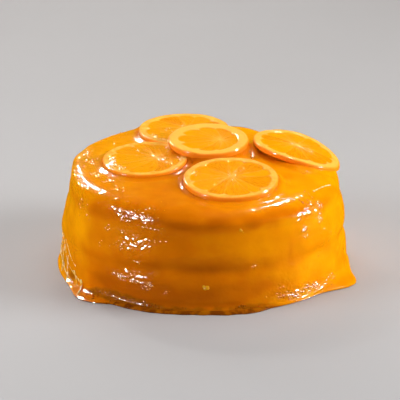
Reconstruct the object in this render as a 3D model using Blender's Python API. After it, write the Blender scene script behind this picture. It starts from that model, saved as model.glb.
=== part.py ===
"""A round orange layer cake under a thick orange glaze, with five candied orange slices on top.

Metres, +Z up. The origin is the middle of the flat underside, on the axis of the baking tin.
The viewer stands at -Y. The three layers show only as soft bands in the side, the glaze runs out
into a thin foot on the plate, and the slices lie on the crown, the middle one on its neighbours.
"""

import math
from collections import namedtuple

import bmesh
import bpy
from mathutils import Matrix, Vector, noise
from mathutils.bvhtree import BVHTree

# The cake's driving sizes
BASE_RADIUS = 0.1148
CROWN_RADIUS = 0.1054
CAKE_HEIGHT = 0.0846
CROWN_FALL = 0.0034
CROWN_FALL_POWER = 1.35
CROWN_SLOPE_X = -0.028
CROWN_SLOPE_Y = 0.050
LEAN = 0.0022

# The shoulder is tight at the back left and soft at the front right
SOFT_SIDE = -12
TIGHT_SHOULDER = (0.0105, 0.0100)
SOFT_SHOULDER = (0.0310, 0.0155)
SHOULDER_POWER = 2.2

# The foot of glaze that runs out on the plate
FOOT_HEIGHTS = (0.0, 0.0006, 0.0015, 0.0022, 0.0031, 0.0050)
FOOT_REACH = 0.0012
FOOT_FALL = 0.0009
FOOT_FLAT = 0.0015
FOOT_NOSE = 0.0005

# How finely the cake is divided
ROUND_STEPS = 100
SIDE_STEPS = 20
SHOULDER_STEPS = 6
CROWN_STEPS = 15

# A soft ring round the side, whose height goes round as a tilted circle: layers swell, joints draw in
Band = namedtuple("Band", "height tilt highest_at depth width faint_at faintness")
BANDS = (
    Band(0.0270, 0.0065, -50, -0.0018, 0.0046, 100, 0.5),
    Band(0.0420, 0.0015, 180, 0.0010, 0.0100, 30, 0.5),
    Band(0.0600, 0.0015, 0, -0.0018, 0.0044, -115, 0.9),
    Band(0.0705, 0.0010, -90, -0.0012, 0.0040, 180, 0.9),
)
BAND_FADE = 75
BAND_WANDER = 0.0030
BAND_UNEVEN = 0.6

# A tongue of glaze that has run out on the plate: angle, reach and half width
Tongue = namedtuple("Tongue", "angle reach spread")
TONGUES = (
    Tongue(-25, 0.0140, 9),
    Tongue(-137, 0.0125, 11),
    Tongue(-75, 0.0020, 16),
    Tongue(38, 0.0060, 13),
    Tongue(95, 0.0095, 10),
    Tongue(150, 0.0050, 14),
)

# A fold or lump in the coat: where it lies, how far it runs each way, its slant and its height
Fold = namedtuple("Fold", "angle height run rise slant depth")
FOLDS = (
    Fold(-52, 0.040, 0.0050, 0.0130, 35, -0.0018),
    Fold(-105, 0.052, 0.0190, 0.0080, 0, -0.0010),
    Fold(-72, 0.074, 0.0120, 0.0070, 10, 0.0010),
    Fold(-140, 0.064, 0.0060, 0.0160, -20, 0.0013),
    Fold(169, 0.078, 0.0060, 0.0045, 0, 0.0014),
    Fold(-150, 0.077, 0.0160, 0.0060, 0, 0.0010),
    Fold(180, 0.031, 0.0300, 0.0080, 0, 0.0019),
    Fold(-12, 0.046, 0.0200, 0.0090, 0, 0.0005),
    Fold(72, 0.082, 0.0110, 0.0090, 0, 0.0036),
    Fold(60, 0.042, 0.0160, 0.0100, 12, 0.0012),
    Fold(110, 0.050, 0.0050, 0.0180, -25, 0.0013),
    Fold(135, 0.034, 0.0140, 0.0080, 0, -0.0012),
)

# Where the coat stops short of the plate and the bare cake shows below its ragged edge
BARE_FROM = -134
BARE_TO = -62
BARE_HEIGHT = 0.0072
BARE_STEP = 0.0013
BARE_BLUR = 6.0

# Unevenness of the hand-poured coat: size of the lumps and how far they stand out
COAT_LUMPS = ((0.046, 0.0013), (0.021, 0.0006))
CROWN_CALM = 0.55

# Candied slices
SLICE_STEPS = 40
SLICE_SEGMENTS = 10
SLICE_THICKNESS = 0.0045
FLESH_DEPTH = 0.0007
MEMBRANE_RISE = 0.0005
CLEARANCE = 0.00035
SETTLE_LIFT = 0.03

# A slice's place: x, y and the height of its underside's middle, then how it tilts and droops
Slice = namedtuple("Slice", "name x y z radius pith core core_at tilt tilt_to droop oval oval_at")
SLICES = (
    Slice("orange_slice_back", -0.0153, 0.0620, 0.0865, 0.0369, 0.0062, 0.004, 60, 4.0, 268, 0, 0.01, 20),
    Slice("orange_slice_left", -0.0454, -0.0070, 0.0829, 0.0337, 0.0050, 0.009, 10, 5.3, 262, 0, 0.02, 80),
    Slice("orange_slice_front", 0.0212, -0.0480, 0.0798, 0.0357, 0.0050, 0.003, 90, 8.4, 272, 0, 0.02, 10),
    Slice("orange_slice_right", 0.0746, 0.0250, 0.0826, 0.0355, 0.0058, 0.003, 80, 8.2, 353, 1, 0.02, 90),
    Slice("orange_slice_middle", 0.0043, 0.0180, 0.0896, 0.0313, 0.0080, 0.009, 5, 6.8, 272, 0, 0.02, 0),
)
DROOP_FROM = 0.20
DROOP_DEPTH = 0.0042

# The soft coat takes the form of the slices' undersides: how far past their rims, and up to what depth
BED_EDGE = 0.0025
BED_FADE = 0.0060
BED_DEPTH = 0.0080
BED_LOWEST = 0.060

GLAZE_COLOUR = (0.90, 0.38, 0.01, 1.0)
SLICE_COLOUR = (0.93, 0.48, 0.06, 1.0)


def clear_scene():
    """Removes what the start-up scene holds."""
    for thing in list(bpy.data.objects):
        bpy.data.objects.remove(thing)


def bell(distance, width):
    """A smooth hump, 1 at no distance and near 0 beyond twice the width."""
    return math.exp(-((distance / width) ** 2))


def degrees_apart(a, b):
    """The smaller angle between two directions."""
    return abs((a - b + 180) % 360 - 180)


def blend(a, b, share):
    """The value a share of the way from a to b."""
    return a + (b - a) * share


def round_noise(angle, waves, row):
    """Noise between -1 and 1 that goes smoothly round the cake."""
    turn = math.radians(angle)
    return noise.noise(Vector((math.cos(turn) * waves, math.sin(turn) * waves, row)))


def spin_profile(profile, steps):
    """The closed shell that a profile of (radius, height) points makes when spun about Z."""
    shell = bmesh.new()
    points = [shell.verts.new((radius, 0, height)) for radius, height in profile]
    edges = [shell.edges.new(pair) for pair in zip(points, points[1:])]
    bmesh.ops.spin(
        shell,
        geom=points + edges,
        cent=(0, 0, 0),
        axis=(0, 0, 1),
        angle=math.tau,
        steps=steps,
        use_merge=True,
    )
    bmesh.ops.remove_doubles(shell, verts=shell.verts, dist=1e-7)
    bmesh.ops.recalc_face_normals(shell, faces=shell.faces)
    return shell


def side_radius(height):
    """Radius of the plain side at a height, before its bands and lumps."""
    return blend(BASE_RADIUS, CROWN_RADIUS, height / CAKE_HEIGHT)


def crown_height(x, y):
    """Height of the plain crown: a shallow dome that slopes a little towards the front right."""
    dome = CROWN_FALL * (math.hypot(x, y) / 0.085) ** CROWN_FALL_POWER
    return CAKE_HEIGHT + CROWN_SLOPE_X * x + CROWN_SLOPE_Y * y - dome


def cake_section(angle):
    """The plain section at an angle: foot, side, rounded shoulder and crown, all but the middle."""
    softness = (1 + math.cos(math.radians(angle - SOFT_SIDE))) / 2
    reach = blend(TIGHT_SHOULDER[0], SOFT_SHOULDER[0], softness)
    depth = blend(TIGHT_SHOULDER[1], SOFT_SHOULDER[1], softness)
    turn_x, turn_y = math.cos(math.radians(angle)), math.sin(math.radians(angle))
    crown_edge = CROWN_RADIUS - reach
    edge_height = crown_height(crown_edge * turn_x, crown_edge * turn_y)
    section = [(side_radius(height), height) for height in FOOT_HEIGHTS]
    side_start, side_top = FOOT_HEIGHTS[-1], edge_height - depth
    for step in range(1, SIDE_STEPS + 1):
        height = blend(side_start, side_top, step / SIDE_STEPS)
        section.append((side_radius(height), height))
    top_radius = side_radius(side_top)
    for step in range(1, SHOULDER_STEPS + 1):
        turn = math.pi / 2 * step / SHOULDER_STEPS
        inwards = 1 - math.cos(turn) ** (2 / SHOULDER_POWER)
        upwards = math.sin(turn) ** (2 / SHOULDER_POWER)
        section.append((blend(top_radius, crown_edge, inwards), side_top + depth * upwards))
    for step in range(1, CROWN_STEPS):
        radius = crown_edge * (1 - step / CROWN_STEPS)
        section.append((radius, crown_height(radius * turn_x, radius * turn_y)))
    return section


def plain_cake():
    """The closed shell through the plain sections at every angle."""
    shell = bmesh.new()
    columns = []
    for step in range(ROUND_STEPS):
        angle = 360 * step / ROUND_STEPS - 180
        turn_x, turn_y = math.cos(math.radians(angle)), math.sin(math.radians(angle))
        columns.append([
            shell.verts.new((radius * turn_x, radius * turn_y, height))
            for radius, height in cake_section(angle)
        ])
    top = shell.verts.new((0, 0, crown_height(0, 0)))
    bottom = shell.verts.new((0, 0, 0))
    for left, right in zip(columns, columns[1:] + columns[:1]):
        shell.faces.new((bottom, right[0], left[0]))
        for low in range(len(left) - 1):
            shell.faces.new((left[low], right[low], right[low + 1], left[low + 1]))
        shell.faces.new((left[-1], right[-1], top))
    return shell


def band_relief(angle, height):
    """How far the side stands out or is drawn in by its layers."""
    out = 0
    for row, band in enumerate(BANDS):
        level = band.height + band.tilt * math.cos(math.radians(angle - band.highest_at))
        level += BAND_WANDER * round_noise(angle, 2.2, row)
        faint = bell(degrees_apart(angle, band.faint_at), BAND_FADE)
        strength = (1 - band.faintness * faint) * (1 + BAND_UNEVEN * round_noise(angle, 1.8, row + 9))
        out += band.depth * strength * bell(height - level, band.width)
    return out


def fold_relief(angle, height):
    """How far single folds and lumps of the coat stand out."""
    out = 0
    for fold in FOLDS:
        along = math.radians((angle - fold.angle + 180) % 360 - 180) * CROWN_RADIUS
        up = height - fold.height
        slant = math.radians(fold.slant)
        across = along * math.cos(slant) - up * math.sin(slant)
        lengthways = along * math.sin(slant) + up * math.cos(slant)
        out += fold.depth * bell(across, fold.run) * bell(lengthways, fold.rise)
    return out


def bare_relief(angle, height):
    """The step down to the bare cake where the coat ends above the plate."""
    inside = min(angle - BARE_FROM, BARE_TO - angle)
    share = 1 / (1 + math.exp(-inside / BARE_BLUR))
    ragged = 0.0022 * round_noise(angle, 8, 0.5)
    edge = BARE_HEIGHT * share + ragged * share
    return -BARE_STEP * share / (1 + math.exp((height - edge) / 0.0004))


def lump_relief(point):
    """Broad unevenness of the poured coat."""
    return sum(depth * noise.noise(point / size) for size, depth in COAT_LUMPS)


def foot_reach(angle, height):
    """How far the foot of glaze reaches out from the side at a height."""
    reach = FOOT_REACH * (1 + 0.6 * round_noise(angle, 5, 2.7))
    for tongue in TONGUES:
        reach += tongue.reach * bell(degrees_apart(angle, tongue.angle), tongue.spread)
    nose = FOOT_NOSE if 0 < height <= FOOT_FLAT else 0
    fall = 1 if height <= FOOT_FLAT else math.exp(-(height - FOOT_FLAT) / FOOT_FALL)
    return reach * fall + nose


def shape_cake(shell):
    """Gives the plain cake its lean, bands, folds, lumps and foot."""
    shell.normal_update()
    moves = []
    for vert in shell.verts:
        radius = math.hypot(vert.co.x, vert.co.y)
        if radius < 1e-6 and vert.co.z < 1e-6:
            continue
        angle = math.degrees(math.atan2(vert.co.y, vert.co.x))
        height = vert.co.z
        on_side = min(1, radius / CROWN_RADIUS) ** 12
        calm = CROWN_CALM + (1 - CROWN_CALM) * on_side
        relief = lump_relief(vert.co) * calm + fold_relief(angle, height) * on_side
        relief += band_relief(angle, height) * on_side + bare_relief(angle, height) * on_side
        direction = vert.normal.copy()
        if height < FOOT_HEIGHTS[-1] + 1e-6:
            direction = Vector((vert.co.x, vert.co.y, 0)).normalized()
            relief += foot_reach(angle, height)
        moves.append((vert, direction * relief + Vector((LEAN * height / CAKE_HEIGHT, 0, 0))))
    for vert, move in moves:
        vert.co += move


def slice_profile(thickness):
    """The plain section of a slice of radius 1: underside, rounded rim, pith ring and flesh.

    Each point is (share of the radius, offset from the rim in metres, height)."""
    half = thickness / 2
    return [
        (0, 0, 0),
        (0.5, 0, 0),
        (1, -0.0016, 0),
        (1, -0.0003, half * 0.45),
        (1, 0, half),
        (1, -0.0004, half * 1.6),
        (1, -0.0016, thickness),
    ]


def orange_slice(kind):
    """One candied slice as a shell lying flat at the origin, with its segments in low relief."""
    top = SLICE_THICKNESS
    profile = [(share * kind.radius + out, height) for share, out, height in slice_profile(top)]
    flesh = kind.radius - kind.pith
    profile += [
        (flesh, top),
        (flesh - 0.0012, top - FLESH_DEPTH),
        (flesh * 0.66, top - FLESH_DEPTH),
        (flesh * 0.34, top - FLESH_DEPTH),
        (0.0016, top - FLESH_DEPTH * 0.3),
        (0, top - FLESH_DEPTH * 0.3),
    ]
    shell = spin_profile(profile, SLICE_STEPS)
    core = Vector((kind.core, 0, 0))
    core.rotate(Matrix.Rotation(math.radians(kind.core_at), 3, "Z"))
    for vert in shell.verts:
        radius = math.hypot(vert.co.x, vert.co.y)
        angle = math.atan2(vert.co.y, vert.co.x)
        if vert.co.z > top / 2 and 0.002 < radius < flesh - 0.0008:
            wall = max(0, math.cos(angle * SLICE_SEGMENTS)) ** 2
            vert.co.z += MEMBRANE_RISE * wall
        if vert.co.z > top / 2:
            vert.co += core * (1 - min(1, radius / flesh) ** 2)
        stretch = 1 + kind.oval * math.cos(2 * (angle - math.radians(kind.oval_at)))
        vert.co.x *= stretch
        vert.co.y *= stretch
    return shell


def underside(kind, x, y):
    """Height of a slice's underside at a point, tilted and drooping towards its low side."""
    towards = math.radians(kind.tilt_to)
    reach = ((x - kind.x) * math.cos(towards) + (y - kind.y) * math.sin(towards)) / kind.radius
    tilt_fall = math.tan(math.radians(kind.tilt)) * reach * kind.radius
    bend = max(0, reach + 1 - 2 * DROOP_FROM) ** 2 - (1 - 2 * DROOP_FROM) ** 2
    return kind.z - tilt_fall - kind.droop * DROOP_DEPTH * bend


def lay_slice(shell, kind):
    """Moves a flat slice over its place and gives it its tilt and droop."""
    for vert in shell.verts:
        vert.co.x += kind.x
        vert.co.y += kind.y
        vert.co.z += underside(kind, vert.co.x, vert.co.y)


def bed_slices(shell):
    """Lets the crown take the form of the undersides of the slices, the top one first."""
    for kind in reversed(SLICES):
        for vert in shell.verts:
            if vert.co.z < BED_LOWEST:
                continue
            past_rim = math.hypot(vert.co.x - kind.x, vert.co.y - kind.y) - kind.radius
            share = min(1, max(0, (BED_EDGE + BED_FADE - past_rim) / BED_FADE))
            share *= share * (3 - 2 * share)
            change = underside(kind, vert.co.x, vert.co.y) - vert.co.z
            if change > 0:
                share *= max(0, 1 - (change / BED_DEPTH) ** 2)
                share *= 1 - min(1, math.hypot(vert.co.x, vert.co.y) / CROWN_RADIUS) ** 12
            vert.co.z += change * share


def settle(shell, below):
    """Lifts a shell well clear and lowers it until it is one clearance above what lies under it."""
    for vert in shell.verts:
        vert.co.z += SETTLE_LIFT
    shell.normal_update()
    tree = BVHTree.FromBMesh(shell)
    gaps = []
    for other in below:
        other_tree = BVHTree.FromBMesh(other)
        for vert in shell.verts:
            hit = other_tree.ray_cast(vert.co, Vector((0, 0, -1)))[0]
            if hit:
                gaps.append(vert.co.z - hit.z)
        for vert in other.verts:
            hit = tree.ray_cast(vert.co, Vector((0, 0, 1)))[0]
            if hit:
                gaps.append(hit.z - vert.co.z)
    drop = min(gaps) - CLEARANCE
    for vert in shell.verts:
        vert.co.z -= drop


def material(name, colour, roughness):
    """A plain finish with one colour."""
    made = bpy.data.materials.new(name)
    made.use_nodes = True
    shader = made.node_tree.nodes["Principled BSDF"]
    shader.inputs["Base Color"].default_value = colour
    shader.inputs["Roughness"].default_value = roughness
    shader.inputs["Metallic"].default_value = 0
    return made


def add_object(name, shell, finish):
    """Puts a shell into the scene as a named, smooth object."""
    mesh = bpy.data.meshes.new(name)
    shell.to_mesh(mesh)
    mesh.materials.append(finish)
    mesh.shade_smooth()
    thing = bpy.data.objects.new(name, mesh)
    bpy.context.scene.collection.objects.link(thing)
    return thing


def main():
    clear_scene()
    cake = plain_cake()
    shape_cake(cake)
    bed_slices(cake)
    add_object("cake", cake, material("orange_glaze", GLAZE_COLOUR, 0.12))
    slice_finish = material("candied_orange", SLICE_COLOUR, 0.2)
    lying = [cake]
    for kind in SLICES:
        shell = orange_slice(kind)
        lay_slice(shell, kind)
        settle(shell, lying)
        add_object(kind.name, shell, slice_finish)
        lying.append(shell)
    for shell in lying:
        shell.free()


main()
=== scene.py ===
# %% [markdown]
# # A glazed orange layer cake
#
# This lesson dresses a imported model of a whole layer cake. The real cake is soft sponge and cream
# under a coat of orange glaze so thick that the layers only show as gentle swellings, and five
# candied orange slices lie on its crown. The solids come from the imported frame, and each visible
# piece is modelled round them at its real size, in metres, with +Z up and the viewer at -Y.

# %% Load the frame
import math
import random
from collections import namedtuple

import bpy
from mathutils import Matrix, Vector, noise
from mathutils.bvhtree import BVHTree


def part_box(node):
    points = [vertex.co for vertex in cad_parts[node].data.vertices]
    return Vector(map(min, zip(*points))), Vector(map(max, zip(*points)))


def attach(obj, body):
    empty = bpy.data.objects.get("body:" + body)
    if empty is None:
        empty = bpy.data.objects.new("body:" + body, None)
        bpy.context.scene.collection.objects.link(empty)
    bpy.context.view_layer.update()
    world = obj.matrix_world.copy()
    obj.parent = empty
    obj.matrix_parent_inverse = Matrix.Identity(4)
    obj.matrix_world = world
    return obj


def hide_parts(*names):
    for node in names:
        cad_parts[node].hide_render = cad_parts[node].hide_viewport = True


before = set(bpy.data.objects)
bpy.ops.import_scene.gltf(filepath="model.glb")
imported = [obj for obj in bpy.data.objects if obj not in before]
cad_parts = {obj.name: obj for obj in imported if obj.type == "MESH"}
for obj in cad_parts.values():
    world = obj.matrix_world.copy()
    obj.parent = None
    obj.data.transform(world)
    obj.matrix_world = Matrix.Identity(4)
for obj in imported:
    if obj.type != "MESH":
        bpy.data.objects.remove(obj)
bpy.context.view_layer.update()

MM = 0.001

# %% [markdown]
# The camera comes first, because every later choice is judged through it. A long lens from a
# metre and a half away keeps the cake's sides nearly parallel, as they look in the real view,
# which is taken from about twenty degrees above the level of the foot.

# %% Place the camera
VIEW_FROM = Vector((-0.0024, -1.40592, 0.52286))
VIEW_DOWN = 18.57
SENSOR = 36.0
FOCAL_LENGTH = 168.75


def place_camera():
    """A camera at the viewing place, looking along +Y and a little down."""
    bpy.ops.object.camera_add(location=VIEW_FROM, rotation=(math.radians(90 - VIEW_DOWN), 0, 0))
    camera = bpy.context.object
    camera.data.sensor_width = SENSOR
    camera.data.lens = FOCAL_LENGTH
    bpy.context.scene.camera = camera
    return camera


print("camera at", place_camera().location[:])

# %% [markdown]
# Modelling by operators needs a few habits: nothing is selected before a new primitive is added,
# edit mode is left again after each step, and faces are picked by where they are. These short
# helpers hold the habits, so that the later cells only say what they shape.


# %% Helpers for modelling
def select_only(thing):
    """Leaves edit mode and makes one object the only selected and active one."""
    if bpy.context.object and bpy.context.object.mode != "OBJECT":
        bpy.ops.object.mode_set(mode="OBJECT")
    bpy.ops.object.select_all(action="DESELECT")
    thing.select_set(True)
    bpy.context.view_layer.objects.active = thing


def select_faces(thing, wanted):
    """Selects the faces that a test on centre and normal picks, and enters edit mode."""
    select_only(thing)
    bpy.ops.object.mode_set(mode="EDIT")
    bpy.ops.mesh.select_mode(type="FACE")
    bpy.ops.mesh.select_all(action="DESELECT")
    bpy.ops.object.mode_set(mode="OBJECT")
    for face in thing.data.polygons:
        face.select = wanted(face.center, face.normal)
    bpy.ops.object.mode_set(mode="EDIT")


def subdivide_smoothly(thing, levels):
    """Applies a Subdivision Surface modifier."""
    select_only(thing)
    smoother = thing.modifiers.new("smooth", "SUBSURF")
    smoother.levels = levels
    smoother.render_levels = levels
    bpy.ops.object.modifier_apply(modifier=smoother.name)


def sculpt(thing, moved):
    """Moves every vertex to the place that a function of its place and normal gives."""
    old = [(vertex.co.copy(), vertex.normal.copy()) for vertex in thing.data.vertices]
    for vertex, (place, normal) in zip(thing.data.vertices, old):
        vertex.co = moved(place, normal)
    thing.data.update()


def store(thing, name, values):
    """Keeps one number for each vertex under a name, for the finish to read."""
    layer = thing.data.attributes.new(name, "FLOAT", "POINT")
    layer.data.foreach_set("value", values)


def paint(thing, name, value_at):
    """Stores what a function of place and normal gives, held between 0 and 1."""
    store(thing, name, [min(1, max(0, value_at(v.co, v.normal))) for v in thing.data.vertices])


def bell(distance, width):
    """A smooth hump, 1 at no distance and near 0 beyond twice the width."""
    return math.exp(-((distance / width) ** 2))


def ease(value, start, end):
    """A smooth step from 0 at start to 1 at end."""
    share = min(1, max(0, (value - start) / (end - start)))
    return share * share * (3 - 2 * share)


def degrees_apart(a, b):
    """The smaller angle between two directions, in degrees."""
    return abs((a - b + 180) % 360 - 180)


def signed_apart(a, b):
    """How far a direction lies anticlockwise of another, in degrees."""
    return (a - b + 180) % 360 - 180


def direction(azimuth, elevation):
    """The unit vector that points to an azimuth and elevation in degrees."""
    turn, rise = math.radians(azimuth), math.radians(elevation)
    return Vector((math.cos(turn) * math.cos(rise), math.sin(turn) * math.cos(rise), math.sin(rise)))


def lumps(place, size):
    """Smooth noise between -1 and 1 whose lumps have a size in metres."""
    return noise.noise(place / size)


# %% [markdown]
# The five slices are candied in syrup until they are limp and shine all over. They lie almost
# flat, tilt towards the viewer and keep their solids' places, so each is described once here:
# where its middle lies, how large it is, how wide its pith is, how far and which way its core
# sits off the middle, how it tilts and droops, how oval it is, how far it is dished in
# millimetres, and what share of its edge is sunk in glaze. Walls are the pale skins between the
# segments.

# %% Describe the slices
Slice = namedtuple(
    "Slice", "node x y radius pith core core_at tilt tilt_to droop oval oval_at walls dish sunk"
)
SLICES = (
    Slice(
        "orange_slice_back", x=-0.0153, y=0.0620, radius=0.0369, pith=0.0062, core=0.004, core_at=60,
        tilt=4.0, tilt_to=268, droop=0, oval=0.01, oval_at=20, walls=10, dish=0.2, sunk=0.80,
    ),
    Slice(
        "orange_slice_left", x=-0.0454, y=-0.0070, radius=0.0337, pith=0.0050, core=0.009, core_at=10,
        tilt=5.3, tilt_to=262, droop=0, oval=0.02, oval_at=80, walls=9, dish=0.2, sunk=0.82,
    ),
    Slice(
        "orange_slice_front", x=0.0212, y=-0.0480, radius=0.0357, pith=0.0050, core=0.003, core_at=90,
        tilt=8.4, tilt_to=272, droop=0, oval=0.02, oval_at=10, walls=11, dish=0.3, sunk=0.38,
    ),
    Slice(
        "orange_slice_right", x=0.0746, y=0.0250, radius=0.0355, pith=0.0058, core=0.003, core_at=80,
        tilt=8.2, tilt_to=353, droop=1, oval=0.02, oval_at=90, walls=10, dish=0.2, sunk=0.78,
    ),
    Slice(
        "orange_slice_middle", x=0.0043, y=0.0180, radius=0.0313, pith=0.0080, core=0.009, core_at=5,
        tilt=6.8, tilt_to=272, droop=0, oval=0.02, oval_at=0, walls=9, dish=0.8, sunk=0.40,
    ),
)
SLICE_THICKNESS = 0.0045
UNDERSIDE_IN = 1.6 * MM
DROOP_FROM = 0.20
DROOP_DEPTH = 0.0042


def slope_of(kind, x, y):
    """How far a slice's underside lies above its middle at a point, from its tilt and droop."""
    towards = math.radians(kind.tilt_to)
    reach = ((x - kind.x) * math.cos(towards) + (y - kind.y) * math.sin(towards)) / kind.radius
    fall = math.tan(math.radians(kind.tilt)) * reach * kind.radius
    bend = max(0, reach + 1 - 2 * DROOP_FROM) ** 2 - (1 - 2 * DROOP_FROM) ** 2
    return -fall - kind.droop * DROOP_DEPTH * bend


def rim_radius(kind, angle):
    """A slice's radius in a direction, in radians: a fruit is never quite round."""
    return kind.radius * (1 + kind.oval * math.cos(2 * (angle - math.radians(kind.oval_at))))


def past_rim(kind, x, y):
    """How far a point lies outside a slice's rim, negative inside."""
    away_x, away_y = x - kind.x, y - kind.y
    return math.hypot(away_x, away_y) - rim_radius(kind, math.atan2(away_y, away_x))


def lowest_rim(kind):
    """The lowest point of a slice's underside, measured from its middle."""
    steps = [math.radians(step) for step in range(0, 360, 5)]
    edge = kind.radius - UNDERSIDE_IN
    return min(slope_of(kind, kind.x + edge * math.cos(s), kind.y + edge * math.sin(s)) for s in steps)


MIDDLE_HEIGHT = {kind.node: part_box(kind.node)[0].z - lowest_rim(kind) for kind in SLICES}
for kind in SLICES:
    print(kind.node, "underside's middle at", round(MIDDLE_HEIGHT[kind.node] / MM, 2), "mm")


def underside(kind, x, y):
    """Height of a slice's underside at a point."""
    return MIDDLE_HEIGHT[kind.node] + slope_of(kind, x, y)


# %% [markdown]
# The coat of glaze was poured warm and set as it ran, so it is one closed skin over the whole
# cake. The solid already has its swellings, its spread foot and its ragged lower edge. Its
# mesh is copied, its loose triangles are merged and paired into quads, and a Subdivision Surface
# makes it fine enough to sculpt.

# %% Copy the cake and make it fine
WELD = 0.01 * MM
COAT_LEVELS = 2


def copy_of_node(node, name):
    """A merged copy of a CAD node's mesh, as an object of its own."""
    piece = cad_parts[node].copy()
    piece.data = piece.data.copy()
    piece.name = piece.data.name = name
    piece.parent = None
    for key in list(piece.keys()):
        del piece[key]
    bpy.context.scene.collection.objects.link(piece)
    piece.matrix_world = Matrix.Identity(4)
    piece.data.materials.clear()
    select_only(piece)
    bpy.ops.mesh.customdata_custom_splitnormals_clear()
    bpy.ops.object.mode_set(mode="EDIT")
    bpy.ops.mesh.select_all(action="SELECT")
    bpy.ops.mesh.remove_doubles(threshold=WELD)
    bpy.ops.mesh.tris_convert_to_quads(face_threshold=math.radians(60), shape_threshold=math.radians(60))
    bpy.ops.object.mode_set(mode="OBJECT")
    return piece


coat = copy_of_node("cake", "glaze_coat")
print("merged:", len(coat.data.vertices), "vertices,", len(coat.data.polygons), "faces")
subdivide_smoothly(coat, COAT_LEVELS)
print("fine:", len(coat.data.vertices), "vertices,", len(coat.data.polygons), "faces")

# %% [markdown]
# Warm glaze creeps up whatever it touches. Round each slice it stands in a small concave collar,
# and where the middle slice bridges its neighbours it fills the gap below. Both are vertex moves:
# near a rim the crown rises towards the middle of the rim's edge, and below the bridging slice it
# rises to the underside, except where another slice already lies.

# %% Raise the glaze round the slices
COLLAR_REACH = 2.4 * MM
COLLAR_SPREAD = 3.0 * MM
COLLAR_INSIDE = 3.0 * MM
COLLAR_LIMIT = 7.0 * MM
CROWN_FROM = 0.060
FILL_SINK = 0.3 * MM
FILL_EDGE = 1.5 * MM
BRIDGE = SLICES[-1]
LYING = SLICES[:-1]


def collar_rise(place, kind):
    """How far the glaze climbs at a point because of one slice's rim."""
    out = past_rim(kind, place.x, place.y)
    edge = underside(kind, place.x, place.y) + kind.sunk * SLICE_THICKNESS
    need = edge - place.z
    if need < 0 or need > COLLAR_LIMIT:
        return 0
    share = bell(out, COLLAR_REACH + COLLAR_SPREAD * kind.sunk if out > 0 else COLLAR_INSIDE)
    return need * share * (1 - (need / COLLAR_LIMIT) ** 2)


def fill_rise(place):
    """How far the glaze rises to fill the gap below the bridging slice."""
    inside = 1 - ease(past_rim(BRIDGE, place.x, place.y), -FILL_EDGE, FILL_EDGE)
    need = underside(BRIDGE, place.x, place.y) - FILL_SINK - place.z
    covered = max(1 - ease(past_rim(kind, place.x, place.y), -FILL_EDGE, 0) for kind in LYING)
    return max(0, need) * inside * (1 - covered)


def creep(place, normal):
    """The crown with its collars and its filled gap."""
    if place.z < CROWN_FROM:
        return place
    filled = place + Vector((0, 0, fill_rise(place)))
    return filled + Vector((0, 0, max(collar_rise(filled, kind) for kind in SLICES)))


sculpt(coat, creep)
print("collars raised, crown now reaches", round(max(v.co.z for v in coat.data.vertices) / MM, 1), "mm")

# %% [markdown]
# Set glaze is never flat. It has slow waves, finer wrinkles that run round the side as it sagged,
# and patches where it gathered in small steps. Each patch has a direction, a height, a size, and
# the pitch, depth and slant of its steps. The light breaks up into white flecks on them. One
# stretch of the right shoulder set almost smooth.

# %% Sculpt the waves of the coat
WAVES = ((14 * MM, 0.30 * MM), (6 * MM, 0.12 * MM))
SMOOTH_SHOULDER = (-48, 26, 84, 9)
SMOOTHED = 0.85
SAG = 1.7
CALM_BELOW = 1.5 * MM
STEP_REACH = 2.5
STEP_WANDER = 1.3
STEP_WANDER_SIZE = 9 * MM
STEP_LEAST = 0.35
STEP_BREAK = 0.9
STEP_BREAK_SIZE = 4.5 * MM
ELSEWHERE = Vector((3, 1, 2))

Steps = namedtuple("Steps", "angle height run rise pitch depth slant")
STEP_PATCHES = (
    Steps(-118, 68, 17, 4.5, 5.0, 0.34, 4),
    Steps(-118, 49, 14, 4.5, 5.0, 0.26, 6),
    Steps(-116, 38, 12, 4.0, 4.6, 0.26, 8),
    Steps(-117, 22, 19, 5.0, 4.8, 0.36, 6),
    Steps(-150, 66, 9, 8.0, 4.6, 0.40, -20),
    Steps(-155, 24, 12, 9.0, 4.4, 0.45, 35),
    Steps(-128, 4, 30, 3.0, 3.4, 0.30, 12),
    Steps(-42, 68, 12, 6.0, 4.4, 0.45, -24),
    Steps(-46, 53, 4, 3.5, 4.6, 0.35, 10),
    Steps(-50, 8, 26, 4.5, 4.4, 0.42, -8),
    Steps(-12, 24, 14, 14.0, 5.0, 0.30, 15),
    Steps(35, 55, 16, 9.0, 4.6, 0.40, -10),
    Steps(70, 28, 20, 7.0, 4.2, 0.42, 6),
    Steps(105, 62, 18, 6.0, 4.4, 0.42, -5),
    Steps(140, 40, 15, 9.0, 4.6, 0.40, 12),
    Steps(172, 18, 18, 6.0, 3.8, 0.44, 5),
)


def place_on_side(place):
    """Direction in degrees, height and radius of a point, the last two in metres."""
    return math.degrees(math.atan2(place.y, place.x)), place.z, math.hypot(place.x, place.y)


def along_side(angle, middle, radius):
    """How far round the side a direction lies from another, in millimetres."""
    return math.radians(signed_apart(angle, middle)) * radius / MM


def step_relief(place):
    """How far the small steps of all patches stand out at a point."""
    angle, height, radius = place_on_side(place)
    out = 0
    for patch in STEP_PATCHES:
        along = along_side(angle, patch.angle, radius)
        up = height / MM - patch.height
        if abs(along) > STEP_REACH * patch.run or abs(up) > STEP_REACH * patch.rise:
            continue
        slant = math.radians(patch.slant)
        across = up * math.cos(slant) - along * math.sin(slant)
        phase = across / patch.pitch + STEP_WANDER * lumps(place, STEP_WANDER_SIZE)
        broken = STEP_LEAST + STEP_BREAK * abs(lumps(place + ELSEWHERE, STEP_BREAK_SIZE))
        ripple = math.sin(math.tau * phase) * broken
        out += patch.depth * MM * ripple * bell(along, patch.run) * bell(up, patch.rise)
    return out


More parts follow.
